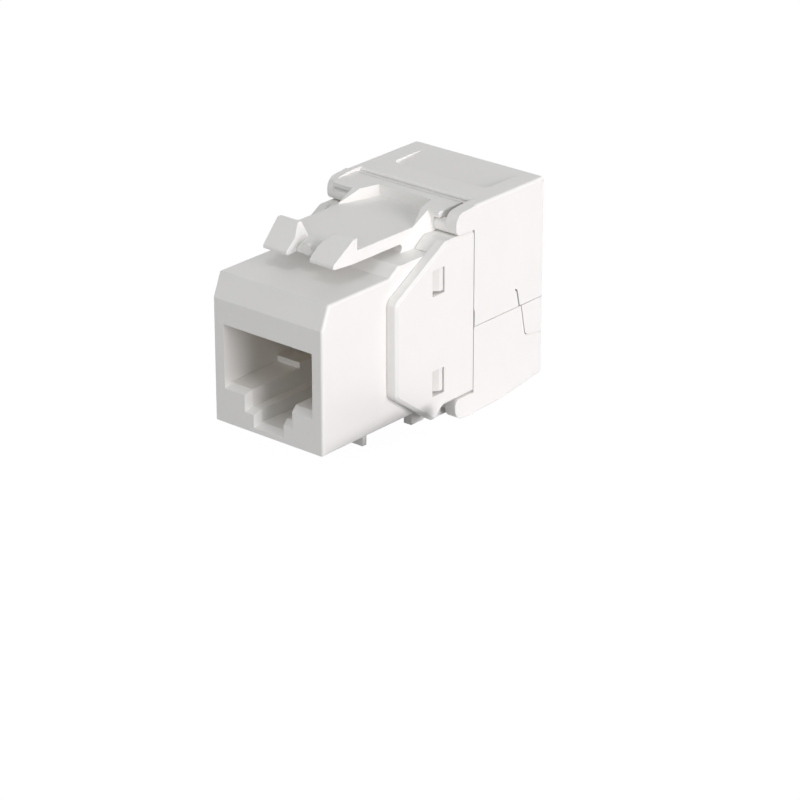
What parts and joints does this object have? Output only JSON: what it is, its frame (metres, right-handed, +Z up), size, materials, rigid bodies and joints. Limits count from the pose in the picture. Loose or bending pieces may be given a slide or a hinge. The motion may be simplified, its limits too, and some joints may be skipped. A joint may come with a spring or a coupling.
{
  "type": "keystone jack",
  "caption": "Snap-in data jack with a modular plug port, a two-fingered spring latch on top and a rear cover of two hinged flaps.",
  "frame": {"origin": "on the lowest level, under the middle of the jack's width and length", "axes": "+X to the right seen from the port, +Y from the port face to the cable entry, +Z up to the latch"},
  "size_m": [0.0174, 0.0336, 0.0232],
  "materials": {
    "white_plastic": "white moulded plastic, fine satin",
    "inner_plastic": "off-white moulded plastic",
    "spring_gold": "gold-plated bronze spring",
    "blade_tin": "tinned bronze",
    "board_green": "solder-masked board"
  },
  "bodies": {
    "jack": {"front_housing": "white_plastic", "rear_frame": "white_plastic", "contact_carrier": "inner_plastic", "contact_spring_1": "spring_gold", "contact_spring_2": "spring_gold", "contact_spring_3": "spring_gold", "contact_spring_4": "spring_gold", "contact_spring_5": "spring_gold", "contact_spring_6": "spring_gold", "contact_spring_7": "spring_gold", "contact_spring_8": "spring_gold", "circuit_board": "board_green", "terminal_block": "inner_plastic", "wire_contact_1": "blade_tin", "wire_contact_2": "blade_tin", "wire_contact_3": "blade_tin", "wire_contact_4": "blade_tin", "wire_contact_5": "blade_tin", "wire_contact_6": "blade_tin", "wire_contact_7": "blade_tin", "wire_contact_8": "blade_tin"},
    "latch": {"latch_arm": "white_plastic"},
    "upper_cover": {"upper_flap": "white_plastic"},
    "lower_cover": {"lower_flap": "white_plastic"}
  },
  "joints": [
    {"name": "latch_bend", "type": "hinge", "parent": "jack", "child": "latch", "pos_m": [0, -0.0017, 0.02091], "axis": [1, 0, 0], "range_deg": [0, 9], "stiffness_Nm_per_rad": 0.2},
    {"name": "upper_flap_hinge", "type": "hinge", "parent": "jack", "child": "upper_cover", "pos_m": [0, 0.00305, 0.02132], "axis": [1, 0, 0], "range_deg": [0, 90]},
    {"name": "lower_flap_hinge", "type": "hinge", "parent": "jack", "child": "lower_cover", "pos_m": [0, 0.00305, 0.00175], "axis": [-1, 0, 0], "range_deg": [0, 90]}
  ]
}
